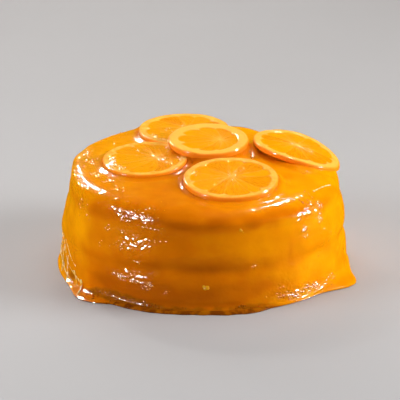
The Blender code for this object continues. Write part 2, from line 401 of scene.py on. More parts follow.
def wave(place, normal):
    """The coat with its waves, wrinkles and steps."""
    stretched = Vector((place.x, place.y, place.z * SAG))
    angle, height, _ = place_on_side(place)
    at, around, level, rise = SMOOTH_SHOULDER
    smooth = bell(degrees_apart(angle, at), around) * bell(height / MM - level, rise)
    waves = sum(depth * lumps(stretched, size) for size, depth in WAVES)
    relief = waves * (1 - SMOOTHED * smooth)
    return place + normal * (relief + step_relief(place)) * ease(place.z, 0, CALM_BELOW)


sculpt(coat, wave)
print("waves sculpted over", len(STEP_PATCHES), "patches of steps")

# %% [markdown]
# The next pieces sit on the coat, so the lesson needs to find its surface. A ray sent inwards at
# a direction and height meets the side, and a ray sent down meets the crown. Both return the
# place and the way the surface faces there.

# %% Find places on the coat
FAR_OUT = 0.25
DOWN = Vector((0, 0, -1))


def surface_tree():
    """A search tree of the sculpted coat."""
    return BVHTree.FromObject(coat, bpy.context.evaluated_depsgraph_get())


COAT_TREE = surface_tree()


def on_side(angle, height_mm):
    """Place and normal where the coat's side is met at a direction and height."""
    turn = math.radians(angle)
    outwards = Vector((math.cos(turn), math.sin(turn), 0))
    start = outwards * FAR_OUT + Vector((0, 0, height_mm * MM))
    place, normal, _, _ = COAT_TREE.ray_cast(start, -outwards)
    return place, normal


def on_crown(x_mm, y_mm):
    """Place and normal where the coat is met from straight above."""
    start = Vector((x_mm * MM, y_mm * MM, FAR_OUT))
    place, normal, _, _ = COAT_TREE.ray_cast(start, DOWN)
    return place, normal


print("side at the front, half way up:", [round(c / MM, 1) for c in on_side(-90, 40)[0]])

# %% [markdown]
# Beads are the small lenses of glaze that set on the steps and along the shoulder. They are far
# too many to place by hand, so one squashed sphere is modelled, copied into seeded clusters and
# joined as one piece. A flat bead mirrors a small lamp only when it faces halfway between that
# lamp and the viewer. So most beads are turned to one of these few halfway directions, which
# stages them for this view and these lamps: from other sides fewer of them gleam.

# %% Scatter the glaze beads
Cluster = namedtuple("Cluster", "angle height run rise count size slant")
SIDE_CLUSTERS = (
    Cluster(-125, 67, 1.4, 4.5, 12, 1.0, 75),
    Cluster(-122, 65, 2.0, 2.0, 4, 0.9, 20),
    Cluster(-113, 69, 7.0, 0.8, 14, 0.9, 4),
    Cluster(-111, 62, 8.0, 1.0, 12, 0.9, 3),
    Cluster(-113, 75, 12, 3.5, 16, 0.8, 10),
    Cluster(-131, 55, 1.6, 2.4, 6, 0.9, 40),
    Cluster(-124, 55.5, 1.8, 1.2, 4, 0.9, -20),
    Cluster(-117, 50, 5.0, 1.0, 7, 0.9, -8),
    Cluster(-108, 53, 7.0, 0.8, 8, 0.8, 3),
    Cluster(-125, 44.5, 6.5, 2.6, 11, 0.8, -15),
    Cluster(-134, 42, 3.0, 3.0, 4, 0.7, 30),
    Cluster(-116, 35, 3.0, 0.9, 8, 1.2, -10),
    Cluster(-122, 21.5, 9.5, 1.7, 32, 1.0, -8),
    Cluster(-111, 18.5, 6.5, 2.8, 20, 0.8, 20),
    Cluster(-104, 14, 4.0, 2.0, 4, 0.7, 0),
    Cluster(-150, 63, 8, 9.0, 10, 1.0, -60),
    Cluster(-43, 72, 1.2, 2.6, 6, 1.3, 70),
    Cluster(-39, 71, 1.2, 2.6, 6, 1.3, 70),
    Cluster(-35, 73, 1.2, 2.6, 6, 1.3, 70),
    Cluster(-34, 68, 2, 5.0, 6, 0.8, 80),
    Cluster(-46, 54, 1.8, 1.7, 22, 1.5, 20),
    Cluster(-36, 58, 2.5, 2.5, 7, 0.9, 60),
    Cluster(-45, 49, 2.0, 1.5, 4, 0.9, 80),
    Cluster(-48, 63, 2.0, 1.0, 3, 1.1, 0),
    Cluster(-56, 6.5, 12, 2.6, 46, 1.2, -6),
    Cluster(-42, 6.5, 13, 3.0, 46, 1.2, -10),
    Cluster(-30, 8.0, 6, 4.0, 16, 1.1, -20),
    Cluster(-70, 34, 3, 1.5, 5, 0.9, 10),
    Cluster(-58, 12, 8, 6.0, 8, 0.7, 0),
    Cluster(-30, 38, 18, 10, 5, 0.8, 0),
    Cluster(40, 50, 20, 10, 14, 1.2, 10),
    Cluster(75, 24, 18, 5, 16, 1.3, 0),
    Cluster(108, 62, 14, 5, 16, 1.2, 0),
    Cluster(145, 36, 14, 8, 14, 1.2, 20),
    Cluster(172, 14, 16, 4, 16, 1.3, 0),
)
Spill = namedtuple("Spill", "x y run_x run_y count size turn")
CROWN_CLUSTERS = (
    Spill(-74, -45, 3.0, 4.5, 24, 1.2, 60),
    Spill(-80, -30, 5.0, 9.0, 14, 1.0, 75),
    Spill(-89, -6, 5.0, 12.0, 22, 1.1, 80),
    Spill(-66, -61, 6.0, 4.0, 12, 0.9, 40),
    Spill(-92, 18, 3.0, 9.0, 16, 1.2, 85),
    Spill(-82, 50, 5.0, 6.0, 6, 1.0, 60),
    Spill(37, 3, 2.0, 4.0, 7, 1.1, 60),
    Spill(41, 25, 2.0, 6.0, 7, 1.0, 80),
    Spill(-24, -10, 3.0, 2.0, 5, 1.1, 20),
    Spill(78, -18, 6.0, 2.0, 9, 1.0, 15),
    Spill(88, -62, 4.0, 5.0, 8, 1.2, 60),
    Spill(-51, 50, 3.0, 2.0, 4, 1.2, 0),
    Spill(60, 78, 14.0, 8.0, 12, 1.1, 20),
    Spill(-70, 60, 12.0, 12.0, 10, 1.1, 120),
)
SIDE_RADIUS = 0.11
SCATTER = 0.6
STEEP = 40
BEAD_LOWEST = 0.8
SIDE_TWIST = 18
CROWN_TWIST = 25
BEAD_SEED = 11
BEAD_RINGS = 2
BEAD_FACES = 80
BEAD_FORM = (1.30, 0.75, 0.20)
BEAD_LENGTHS = (0.45, 1.25)
BEAD_WIDTHS = (0.4, 0.9)
BEAD_HEIGHTS = (0.6, 1.2)
BEAD_SINK = 0.06
LEFT_LEANS = ((-119, 21), (-160, 47), (-143, 67))
RIGHT_LEANS = ((-47, 24), (-51, 65))
LEAN_LIMIT = 0.70
LEAN_SPREAD = 0.05


def ball(rings):
    """A sphere with a radius of one millimetre, the start of every small pattern."""
    bpy.ops.mesh.primitive_ico_sphere_add(subdivisions=rings, radius=MM)
    return bpy.context.object


def bead_pattern():
    """One lens of glaze, pointing up, as the pattern for all beads."""
    pattern = ball(BEAD_RINGS)
    bpy.ops.object.mode_set(mode="EDIT")
    bpy.ops.mesh.select_all(action="SELECT")
    bpy.ops.transform.resize(value=BEAD_FORM)
    bpy.ops.object.mode_set(mode="OBJECT")
    return pattern


def lie_on(place, normal, turn, size):
    """The matrix that turns a pattern onto a surface, spun about its normal and sized."""
    laid = Matrix.Translation(place) @ normal.to_track_quat("Z", "Y").to_matrix().to_4x4()
    return laid @ Matrix.Rotation(turn, 4, "Z") @ Matrix.Diagonal((*size, 1))


def stamp(pattern, matrices, name):
    """One joined mesh of copies of a pattern, each copy in the place of its matrix."""
    points, faces = [], []
    for matrix in matrices:
        first = len(points)
        points.extend(matrix @ vertex.co for vertex in pattern.data.vertices)
        faces.extend([first + corner for corner in face.vertices] for face in pattern.data.polygons)
    mesh = bpy.data.meshes.new(name)
    mesh.from_pydata(points, [], faces)
    mesh.shade_smooth()
    piece = bpy.data.objects.new(name, mesh)
    bpy.context.scene.collection.objects.link(piece)
    bpy.data.objects.remove(pattern)
    return piece


def scattered(spill, draw):
    """One random point of a spill, in millimetres."""
    x = spill.x + draw.gauss(0, SCATTER) * spill.run_x
    y = spill.y + draw.gauss(0, SCATTER) * spill.run_y
    return x, y


def bead_places(draw):
    """Place, normal, turn and size of every bead, cluster by cluster."""
    for cluster in SIDE_CLUSTERS:
        for _ in range(cluster.count):
            along = draw.gauss(0, SCATTER) * cluster.run
            up = draw.gauss(0, SCATTER) * cluster.rise
            slope = math.tan(math.radians(cluster.slant)) * along
            angle = cluster.angle + math.degrees(along * MM / SIDE_RADIUS)
            height = cluster.height + up + (slope if abs(cluster.slant) < STEEP else 0)
            place, normal = on_side(angle, max(BEAD_LOWEST, height))
            yield place, normal, math.radians(cluster.slant + draw.gauss(0, SIDE_TWIST)), cluster.size
    for spill in CROWN_CLUSTERS:
        for _ in range(spill.count):
            place, normal = on_crown(*scattered(spill, draw))
            yield place, normal, math.radians(spill.turn + draw.gauss(0, CROWN_TWIST)), spill.size


def lean(place, normal, draw):
    """The way a bead faces: halfway from the viewer to a small lamp where the coat nearly does."""
    ways = LEFT_LEANS if place.x < 0 else RIGHT_LEANS
    nearest = max((direction(*way) for way in ways), key=normal.dot)
    facing = nearest if normal.dot(nearest) > LEAN_LIMIT else normal
    return (facing + Vector(draw.gauss(0, LEAN_SPREAD) for _ in range(3))).normalized()


def bead_matrices():
    """The matrices of all beads, drawn from one seed."""
    draw = random.Random(BEAD_SEED)
    matrices = []
    for place, normal, turn, size in bead_places(draw):
        length = size * draw.uniform(*BEAD_LENGTHS)
        width = size * draw.uniform(*BEAD_WIDTHS)
        height = size * draw.uniform(*BEAD_HEIGHTS)
        sunk = place - normal * BEAD_SINK * MM * size
        matrices.append(lie_on(sunk, lean(place, normal, draw), turn, (length, width, height)))
    return matrices


beads = stamp(bead_pattern(), bead_matrices(), "glaze_beads")
print("beads:", len(beads.data.polygons) // BEAD_FACES)

# %% [markdown]
# At the left of the foot the glaze ran thin and left a little web: strands that cross the bare
# crust on their way down. On the crown the spatula left two thin ridges. A strand is a
# curve with a round section that swells at its ends. Its points are found on the coat, so it
# lies on the cake all the way.

# %% Draw the strands of glaze
Strand = namedtuple("Strand", "points thickness")
STRANDS = (
    Strand(((-178, 14), (-171, 9), (-164, 6.0), (-157, 4.0), (-150, 2.4)), 0.52),
    Strand(((-174, 27), (-167, 20), (-160, 14), (-152, 8.5), (-145, 5.0)), 0.62),
    Strand(((-169, 24), (-168, 15), (-167, 8), (-165, 2)), 0.50),
    Strand(((-160, 18), (-159, 11), (-157, 6), (-156, 2)), 0.46),
    Strand(((-152, 11), (-150, 7), (-147, 3)), 0.50),
    Strand(((-146, 7), (-143, 4), (-140, 1.5)), 0.62),
    Strand(((-180, 22), (-181, 13), (-180, 5)), 0.52),
    Strand(((-176, 19), (-170, 15), (-165, 9), (-160, 5)), 0.44),
    Strand(((-166, 27), (-162, 22), (-156, 18), (-151, 15)), 0.42),
)
CROWN_RIDGES = (
    Strand(((47.0, -80.0), (51.5, -75.5), (57.0, -72.0), (63.0, -70.5), (69.0, -69.5)), 0.65),
    Strand(((84.0, -50.0), (88.5, -43.0), (93.5, -35.5), (98.5, -28.0)), 0.60),
)
STRAND_LIFT = 0.10
RIDGE_LIFT = 0.0
STRAND_SIDES = 3
STRAND_END = 1.25
STRAND_MIDDLE = 0.8
STRAND_FLAT = 0.65


def draw_strand(strand, find, lift):
    """One strand as a smooth curve on the coat, through the places that find returns."""
    bpy.ops.curve.primitive_nurbs_path_add()
    curve = bpy.context.object
    curve.data.splines.clear()
    line = curve.data.splines.new("NURBS")
    line.points.add(len(strand.points) - 1)
    for order, (point, where) in enumerate(zip(line.points, strand.points)):
        place, normal = find(*where)
        lifted = place + normal * lift * MM * strand.thickness
        point.co = (*lifted, 1)
        point.radius = STRAND_END if order in (0, len(strand.points) - 1) else STRAND_MIDDLE
    line.use_endpoint_u = True
    line.order_u = 3
    curve.location = (0, 0, 0)
    curve.data.resolution_u = 8
    curve.data.bevel_depth = strand.thickness * MM
    curve.data.bevel_resolution = STRAND_SIDES
    curve.data.use_fill_caps = True
    select_only(curve)
    bpy.ops.object.convert(target="MESH")
    return bpy.context.object


def flatten(place, normal):
    """Presses a point of a strand towards the coat below it."""
    below, facing, _, _ = COAT_TREE.find_nearest(place)
    return place - facing * (place - below).dot(facing) * (1 - STRAND_FLAT)


def join_pieces(pieces, name):
    """Joins pieces into one object at the origin."""
    select_only(pieces[0])
    for piece in pieces:
        piece.select_set(True)
    bpy.ops.object.join()
    joined = bpy.context.object
    joined.name = joined.data.name = name
    bpy.ops.object.transform_apply(location=True, rotation=True, scale=True)
    joined.data.shade_smooth()
    return joined


web = [draw_strand(strand, on_side, STRAND_LIFT) for strand in STRANDS]
ridges = [draw_strand(ridge, on_crown, RIDGE_LIFT) for ridge in CROWN_RIDGES]
strands = join_pieces(web + ridges, "glaze_strands")
sculpt(strands, flatten)
print("strands:", len(web), "and ridges:", len(ridges), "with", len(strands.data.polygons), "faces")

# %% [markdown]
# Below the ragged edge of the coat a thin dark syrup seeped out from under the crust.
# It starts as a torus laid round the foot, squashed flat, and is sculpted so that it only
# comes out from under the cake where the syrup shows, with an uneven front.

# %% Pour the syrup round the foot
SYRUP_RADIUS = 112.0 * MM
SYRUP_WIDTH = 4.2 * MM
SYRUP_FLATTEN = 0.42
SYRUP_HIDE = 6.0 * MM
SYRUP_FARTHEST = 3.4 * MM
SYRUP_LIFT = 0.4 * MM
SYRUP_UNEVEN = 0.8 * MM
SYRUP_UNEVEN_SIZE = 7 * MM
SYRUP_RUNS = ((-112, 30, 3.2), (-74, 14, 2.2), (-142, 10, 3.0), (160, 18, 2.2), (60, 20, 2.0))


def pour_syrup():
    """A flat uneven ring of syrup that shows only along its runs."""
    bpy.ops.mesh.primitive_torus_add(
        major_radius=SYRUP_RADIUS, minor_radius=SYRUP_WIDTH, major_segments=240, minor_segments=16
    )
    ring = bpy.context.object
    ring.name = ring.data.name = "foot_syrup"

    def spread(place, normal):
        angle, height, _ = place_on_side(place)
        reach = -SYRUP_HIDE
        for run_angle, run_half, run_reach in SYRUP_RUNS:
            reach += (SYRUP_HIDE + run_reach * MM) * bell(degrees_apart(angle, run_angle), run_half)
        reach = min(reach, SYRUP_FARTHEST) + SYRUP_UNEVEN * lumps(place, SYRUP_UNEVEN_SIZE)
        outwards = Vector((place.x, place.y, 0)).normalized()
        flat = Vector((place.x, place.y, max(0, height * SYRUP_FLATTEN + SYRUP_LIFT)))
        return flat + outwards * reach

    sculpt(ring, spread)
    ring.data.shade_smooth()
    return ring


syrup = pour_syrup()
print("syrup reaches", round(max(v.co.xy.length for v in syrup.data.vertices) / MM, 1), "mm out")

# %% [markdown]
# Bubbles rose in the syrup as it cooled, and crumbs of fruit pulp were caught in the glaze. Both
# are small and many, so each kind is one pattern stamped over its own places.

# %% Add bubbles and pulp
Froth = namedtuple("Froth", "angle height run rise count")
FROTHS = (
    Froth(-118, 3.2, 24, 1.8, 34),
    Froth(-100, 2.6, 10, 1.2, 8),
    Froth(-74, 2.6, 7, 1.4, 14),
    Froth(-135, 3.0, 6, 1.6, 10),
    Froth(60, 2.5, 20, 1.2, 16),
    Froth(160, 2.5, 20, 1.2, 16),
)
FOOT_RADIUS = 0.114
BUBBLE_SEED = 5
BUBBLE_LOWEST = 0.7
BUBBLE_SIZES = (0.35, 0.95)
Crumb = namedtuple("Crumb", "angle height size")
CRUMBS = (
    Crumb(-88.6, 19.4, 2.6),
    Crumb(-89.8, 20.6, 1.7),
    Crumb(-75.2, 62.2, 1.8),
    Crumb(-74.2, 60.0, 1.1),
    Crumb(50, 44, 2.2),
    Crumb(130, 26, 2.0),
)
CRUMB_TURN = 1.1
CRUMB_RINGS = 3
PULP_SINK = 0.45 * MM


def bubble_matrices():
    """Half-sunk round bubbles along the foot, drawn from one seed."""
    draw = random.Random(BUBBLE_SEED)
    matrices = []
    for froth in FROTHS:
        for _ in range(froth.count):
            angle = froth.angle + math.degrees(draw.gauss(0, SCATTER) * froth.run * MM / FOOT_RADIUS)
            height = froth.height + draw.gauss(0, SCATTER) * froth.rise
            place, normal = on_side(angle, max(BUBBLE_LOWEST, height))
            size = draw.uniform(*BUBBLE_SIZES)
            matrices.append(lie_on(place, normal, 0, (size, size, size)))
    return matrices


def pulp_matrices():
    """The caught crumbs of pulp, each turned its own way."""
    matrices = []
    for order, (angle, height, size) in enumerate(CRUMBS):
        place, normal = on_side(angle, height)
        sunk = place - normal * PULP_SINK
        matrices.append(lie_on(sunk, normal, order * CRUMB_TURN, (size, size * 0.7, size * 0.45)))
    return matrices


def pulp_pattern():
    """One lumpy crumb of fruit."""
    crumb = ball(CRUMB_RINGS)
    sculpt(crumb, lambda place, normal: place * (1 + 0.35 * lumps(place, 0.8 * MM)))
    return crumb


bubbles = stamp(ball(BEAD_RINGS), bubble_matrices(), "syrup_bubbles")
pulp = stamp(pulp_pattern(), pulp_matrices(), "fruit_pulp")
print("bubbles:", len(bubbles.data.polygons) // BEAD_FACES, "crumbs of pulp:", len(CRUMBS))

# %% [markdown]
# A candied slice has a soft glossy rind, a ring of pale pith, and segments that have sunk a
# little between their walls. The blank is a cylinder with as many sides as the detail needs. Its
# top is inset ring after ring to get an even net of faces, and its rim is bevelled round. One
# blank is modelled, and every slice starts from its own copy of it.

# %% Cut the blank of a slice
SLICE_SIDES = 144
BLANK_RADIUS = 0.034
RING_STEP = 0.95 * MM
RIM_BEVEL = 1.5 * MM
RIM_STEPS = 4
CORE_HOLE = 1.4 * MM


def inset_rings(width, rings):
    """Insets the selected round face again and again and closes its middle."""
    for _ in range(rings):
        bpy.ops.mesh.inset(thickness=width)
    bpy.ops.mesh.poke()


def slice_blank():
    """A round blank at the origin, lying on its underside."""
    bpy.ops.mesh.primitive_cylinder_add(
        vertices=SLICE_SIDES, radius=BLANK_RADIUS, depth=SLICE_THICKNESS,
        location=(0, 0, SLICE_THICKNESS / 2),
    )
    blank = bpy.context.object
    bpy.ops.object.transform_apply(location=True)
    bpy.ops.object.mode_set(mode="EDIT")
    bpy.ops.mesh.select_mode(type="EDGE")
    bpy.ops.mesh.select_all(action="DESELECT")
    bpy.ops.object.mode_set(mode="OBJECT")
    for edge in blank.data.edges:
        ends = [blank.data.vertices[index].co.z for index in edge.vertices]
        edge.select = abs(ends[0] - ends[1]) < WELD
    bpy.ops.object.mode_set(mode="EDIT")
    bpy.ops.mesh.bevel(offset=RIM_BEVEL, segments=RIM_STEPS, profile=0.55)
    rings = int((BLANK_RADIUS - RIM_BEVEL - CORE_HOLE) / RING_STEP)
    select_faces(blank, lambda centre, normal: normal.z > 0.99 and centre.xy.length < RING_STEP)
    inset_rings(RING_STEP, rings)
    select_faces(blank, lambda centre, normal: normal.z < -0.99 and centre.xy.length < RING_STEP)
    inset_rings(RING_STEP * 4, rings // 4)
    bpy.ops.object.mode_set(mode="OBJECT")
    subdivide_smoothly(blank, 1)
    return blank


blank = slice_blank()
print("blank:", len(blank.data.polygons), "faces")


# %% [markdown]
# The inside of the fruit is drawn in polar terms. Walls divide the flesh at uneven angles and
# meet at a core that is seldom in the middle, each segment has rounded outer corners and swells
# like a small pillow, and its juice sacs lie as long cells that point at the core.

# %% Describe the inside of the fruit
WALL_WIDTH = 0.55 * MM
WALL_PALE = 0.32
WALL_RISE = 0.35
FLESH_SINK = 0.8 * MM
PILLOW = 0.30 * MM
SAC_DEPTH = 0.18 * MM
SACS_ACROSS = 5.0
SAC_LENGTH = 5.0 * MM
CORE_SIZE = 2.0 * MM
STAR_SIZE = 7 * MM
STAR_PALE = 0.55
STAR_RAYS = 6
WALL_BEND = 4.0
WALL_BEND_SIZE = 14 * MM
WALL_LEAST = 0.1
CORNER_ROUND = 0.10
FLESH_EDGE = 0.7 * MM
FLESH_EDGE_SIZE = 8 * MM


def wall_angles(kind):
    """The angles of a slice's walls in degrees, unevenly spaced from one seed."""
    draw = random.Random(kind.node)
    step = 360 / kind.walls
    return sorted((step * wall + draw.uniform(-0.2, 0.2) * step) % 360 for wall in range(kind.walls))


def segment_at(angle, walls):
    """Which segment an angle in degrees lies in, and how far across it from 0 to 1."""
    angle %= 360
    for order, wall in enumerate(walls):
        following = walls[order + 1] if order + 1 < len(walls) else walls[0] + 360
        if wall <= angle < following:
            return order, (angle - wall) / (following - wall)
    return len(walls) - 1, (angle + 360 - walls[-1]) / (walls[0] + 360 - walls[-1])


Fruit = namedtuple("Fruit", "flesh wall pillow core sac tone")


def wall_share(kind, place, radius, across):
    """How much of a point is wall: thicker near the core, and fading in places."""
    to_wall = min(across, 1 - across) * (math.radians(360 / kind.walls) * radius)
    thick = WALL_WIDTH * (1 + 0.9 * bell(radius, 9 * MM) + 0.5 * lumps(place, 6 * MM))
    patchy = 0.6 * lumps(place + Vector((0, 0, kind.y)), 7 * MM)
    seen = 0.45 + 0.55 * bell(radius, 2 * STAR_SIZE) + patchy
    return bell(to_wall, thick) * min(1, max(WALL_LEAST, seen))


def flesh_share(kind, place, radius, across):
    """How much of a point is flesh: each segment ends in rounded outer corners."""
    edge = (kind.radius - kind.pith) * (1 - CORNER_ROUND * abs(2 * across - 1) ** 4)
    edge += FLESH_EDGE * lumps(Vector((place.x, place.y, 0.3)), FLESH_EDGE_SIZE)
    return 1 - ease(radius, edge - FLESH_EDGE, edge + FLESH_EDGE)


def core_share(kind, place, radius, turn):
    """How much of a point is core: a small middle in a ragged star."""
    way = math.radians(turn)
    ray = noise.noise(Vector((math.cos(way) * STAR_RAYS, math.sin(way) * STAR_RAYS, kind.x)))
    star = STAR_PALE * bell(radius, STAR_SIZE * max(0.2, 0.8 + 1.4 * ray))
    return max(star, bell(radius, CORE_SIZE * (1 + 0.4 * lumps(place, 3 * MM))))


def fruit_at(kind, walls, place):
    """What a point of a flat slice is made of, each share from 0 to 1."""
    radius, turn = place.xy.length, math.degrees(math.atan2(place.y, place.x))
    bend = WALL_BEND * lumps(Vector((place.x, place.y, kind.x)), WALL_BEND_SIZE)
    order, across = segment_at(turn + bend, walls)
    wall = wall_share(kind, place, radius, across)
    flesh = flesh_share(kind, place, radius, across)
    core = core_share(kind, place, radius, turn)
    pillow = (1 - (2 * across - 1) ** 2) * ease(radius, 2 * MM, 9 * MM)
    cells = Vector((across * SACS_ACROSS + order * 7, radius / SAC_LENGTH + 0.5 * across, kind.y))
    nearest = noise.voronoi(cells)[0]
    sac = min(1, 1.6 * (nearest[1] - nearest[0]))
    tone = noise.cell(Vector((order, 3, kind.x * 99)))
    return Fruit(flesh, wall * flesh, pillow * flesh, core, sac * flesh, tone)


print("walls of the middle slice:", [round(angle) for angle in wall_angles(BRIDGE)])

# %% [markdown]
# Each blank is sculpted flat, where the fruit is simple to describe, and painted with what each
# point is made of. Only then does the whole slice lie down: its core shifts, its outline takes
# the fruit's oval, and it bends onto the place that its solid holds.

# %% Sculpt, paint and lay the slices
TOP_FROM = 0.3 * SLICE_THICKNESS
TOP_FULL = 0.6 * SLICE_THICKNESS
LIMP = 0.30 * MM
LIMP_SIZE = 9 * MM
WOBBLE = 0.010
WOBBLE_WAYS = 1.5
DISH_FROM = 0.45
RIND_WIDTH = 1.9 * MM
RIND_PAST = 0.3 * MM


def top_relief(kind, fruit, place):
    """How far the top of a slice lies above or below its plain face."""
    sunk = -FLESH_SINK * fruit.flesh * (1 - WALL_RISE * fruit.wall) * (1 - 0.5 * fruit.core)
    swell = PILLOW * fruit.pillow + SAC_DEPTH * fruit.sac * (1 - fruit.wall)
    uneven = LIMP * lumps(place + Vector((kind.x, kind.y, 0)), LIMP_SIZE)
    return sunk + swell + uneven


def lay_down(kind, place, top):
    """Where a point of the flat slice lies on the cake."""
    flesh = kind.radius - kind.pith
    inner = 1 - min(1, place.xy.length / flesh) ** 2
    towards = math.radians(kind.core_at)
    shift = kind.core * inner * top
    angle = math.atan2(place.y, place.x)
    stretch = rim_radius(kind, angle) / kind.radius
    way = Vector((math.cos(angle) * WOBBLE_WAYS, math.sin(angle) * WOBBLE_WAYS, kind.x * 40))
    wobble = 1 + WOBBLE * noise.noise(way)
    x = kind.x + (place.x + shift * math.cos(towards)) * stretch * wobble
    y = kind.y + (place.y + shift * math.sin(towards)) * stretch * wobble
    bowl = ease(place.xy.length, DISH_FROM * kind.radius, kind.radius) - 0.5
    dished = kind.dish * MM * bowl * top
    return Vector((x, y, underside(kind, x, y) + place.z + dished))


def copy_of_blank(kind):
    """A copy of the blank with its own mesh, stretched to a slice's radius."""
    piece = blank.copy()
    piece.data = blank.data.copy()
    piece.name = piece.data.name = kind.node.replace("orange_slice", "candied_slice")
    bpy.context.scene.collection.objects.link(piece)
    share = kind.radius / BLANK_RADIUS
    piece.data.transform(Matrix.Diagonal((share, share, 1, 1)))
    return piece


def candied_slice(kind):
    """One finished slice in its place on the cake."""
    piece = copy_of_blank(kind)
    walls = wall_angles(kind)
    flat = [vertex.co.copy() for vertex in piece.data.vertices]
    fruits = [fruit_at(kind, walls, place) for place in flat]
    tops = [ease(place.z, TOP_FROM, TOP_FULL) for place in flat]
    rim = [ease(place.xy.length, kind.radius - RIND_WIDTH, kind.radius + RIND_PAST) for place in flat]
    shown = [f.flesh * t * (1 - WALL_PALE * f.wall) * (1 - f.core) for f, t in zip(fruits, tops)]
    store(piece, "flesh", shown)
    store(piece, "tone", [fruit.tone for fruit in fruits])
    store(piece, "rind", [max(1 - top, outer) for top, outer in zip(tops, rim)])
    net = piece.data.uv_layers.new(name="flat")
    for loop in piece.data.loops:
        across = flat[loop.vertex_index].xy / (2 * kind.radius)
        net.uv[loop.index].vector = across + Vector((0.5, 0.5))
    for vertex, place, fruit, top in zip(piece.data.vertices, flat, fruits, tops):
        raised = place + Vector((0, 0, top_relief(kind, fruit, place) * top))
        vertex.co = lay_down(kind, raised, top)
    piece.data.update()
    piece.data.shade_smooth()
    return piece


candied = {kind.node: candied_slice(kind) for kind in SLICES}
bpy.data.objects.remove(blank)
for node, piece in candied.items():
    print(piece.name, len(piece.data.polygons), "faces for", node)

# %% [markdown]
# Syrup was still running off two of the slices when they were laid, and it dried in small drops
# along their pith and over their flesh. The drops are lenses like the beads, stamped and turned
# the same way, but their places are found on the slices.

# %% Let syrup drops dry on the slices
DROPS = {
    "orange_slice_left": (
        Spill(-71, -14, 2.4, 8.0, 56, 1.2, 70),
        Spill(-65, -26, 4.0, 3.5, 30, 1.1, 40),
        Spill(-52, 9, 6.0, 6.0, 9, 1.1, 20),
        Spill(-29, -8, 3.5, 5.0, 8, 1.4, 60),
        Spill(-17, -8, 3.0, 5.0, 12, 1.5, 50),
        Spill(-26, 14, 3.0, 3.0, 7, 1.5, 30),
    ),
    "orange_slice_back": (
        Spill(-39, 45, 2.0, 4.0, 14, 1.6, 120),
        Spill(-31, 37, 4.0, 1.6, 10, 1.5, 150),
        Spill(-28, 60, 9.0, 4.0, 6, 1.3, 10),
    ),
    "orange_slice_front": (
        Spill(-6, -40, 1.6, 5.0, 7, 1.4, 80),
        Spill(21, -44, 4.0, 4.0, 4, 1.0, 0),
    ),
}
DROP_FLAT = 0.6
DROP_NARROW = 0.8
DROP_SIZES = (0.5, 1.2)
DROP_TWIST = 30
DROP_LEVEL = 0.8
DROP_SEED = 23


def drop_matrices():
    """The matrices of all drops, found on their slices and drawn from one seed."""
    draw = random.Random(DROP_SEED)
    matrices = []
    for node, spills in DROPS.items():
        tree = BVHTree.FromObject(candied[node], bpy.context.evaluated_depsgraph_get())
        for spill in spills:
            for _ in range(spill.count):
                start = Vector((*scattered(spill, draw), 0)) * MM + Vector((0, 0, FAR_OUT))
                place, normal, _, _ = tree.ray_cast(start, DOWN)
                if place is None or normal.z < DROP_LEVEL:
                    continue
                size = spill.size * draw.uniform(*DROP_SIZES)
                turn = math.radians(spill.turn + draw.gauss(0, DROP_TWIST))
                sunk = place - normal * BEAD_SINK * MM
                form = (size * DROP_NARROW, size, size * DROP_FLAT)
                matrices.append(lie_on(sunk, lean(place, normal, draw), turn, form))
    return matrices


drops = stamp(bead_pattern(), drop_matrices(), "syrup_drops")
print("drops:", len(drops.data.polygons) // BEAD_FACES)

# %% [markdown]
# The colour of a clear glaze comes from what lies below it and from how deep it is, and here the
# shade and light that fall on it are painted in as well. Over the crown and the lit right side it is
# a bright orange yellow. Over the joints between the layers, low down and across the front, round
# the slices and on the front of the crown it darkens to a burnt orange: partly real depth, partly
# painted shade where less light falls and under the swellings. A few patches on the sides are
# painted paler as painted light. Depth and shade are painted on the coat's vertices from named
# bands and patches, so they stay on the cake from any side.

# %% Paint the depth and the painted shade of the glaze
SHOULDER_LOW = 74
SHOULDER_HIGH = 86
# Round the slices' rims the glaze pools deeper and also carries painted shade; the front of the crown
# carries painted shade.
RIM_POOL_AND_SHADE = 0.45
RIM_POOL_AND_SHADE_REACH = 3.5 * MM
CROWN_SHADE = 0.46
CROWN_SHADE_TOWARDS = -106
CROWN_SHADE_SPREAD = 42
DEPTH_LEAST = 0.08
DEPTH_CLOUDS = 0.10
DEPTH_CLOUD_SIZE = 11 * MM
# Painted shade: the side is darkened towards the front, where less light falls on it.
FRONT_SHADE_TOWARDS = -108
FRONT_SHADE_SPREAD = 46
FRONT_SHADE_SHARE = 0.42
# The bands are the layer joints: partly real deeper glaze, partly painted shade under the swellings,
# strongest at the front.
Band = namedtuple("Band", "height half strength wander")
JOINT_AND_SHADE_BANDS = (Band(67, 4.4, 0.50, 2.5), Band(33, 5.0, 0.24, 3.5), Band(14, 10.0, 0.34, 3.0))
BAND_SHADE_TOWARDS = -92
BAND_SHADE_SPREAD = 52
BAND_FAINT = 0.22
BAND_WANDER_SIZE = 30 * MM
BAND_PATCHY = 0.9
BAND_PATCH_SIZE = 17 * MM
# On the seen side, deeper blotches are painted shade and paler ones painted light; round the back they
# only vary the tone.
Blotch = namedtuple("Blotch", "angle height run rise strength")
TONE_SHADE_AND_LIGHT_BLOTCHES = (
    Blotch(-99, 50, 17, 8, 0.12),
    Blotch(-88, 34, 20, 5, 0.20),
    Blotch(-54, 41, 3, 9, 0.20),
    Blotch(-108, 12, 36, 9, 0.40),
    Blotch(-130, 16, 20, 12, 0.25),
    Blotch(-150, 45, 12, 18, -0.25),
    Blotch(-70, 50, 10, 8, -0.08),
    Blotch(-90, 55, 18, 5, -0.10),
    Blotch(-44, 20, 26, 12, -0.22),
    Blotch(170, 50, 30, 14, 0.18),
    Blotch(60, 30, 30, 10, 0.20),
    Blotch(120, 48, 24, 9, 0.15),
)


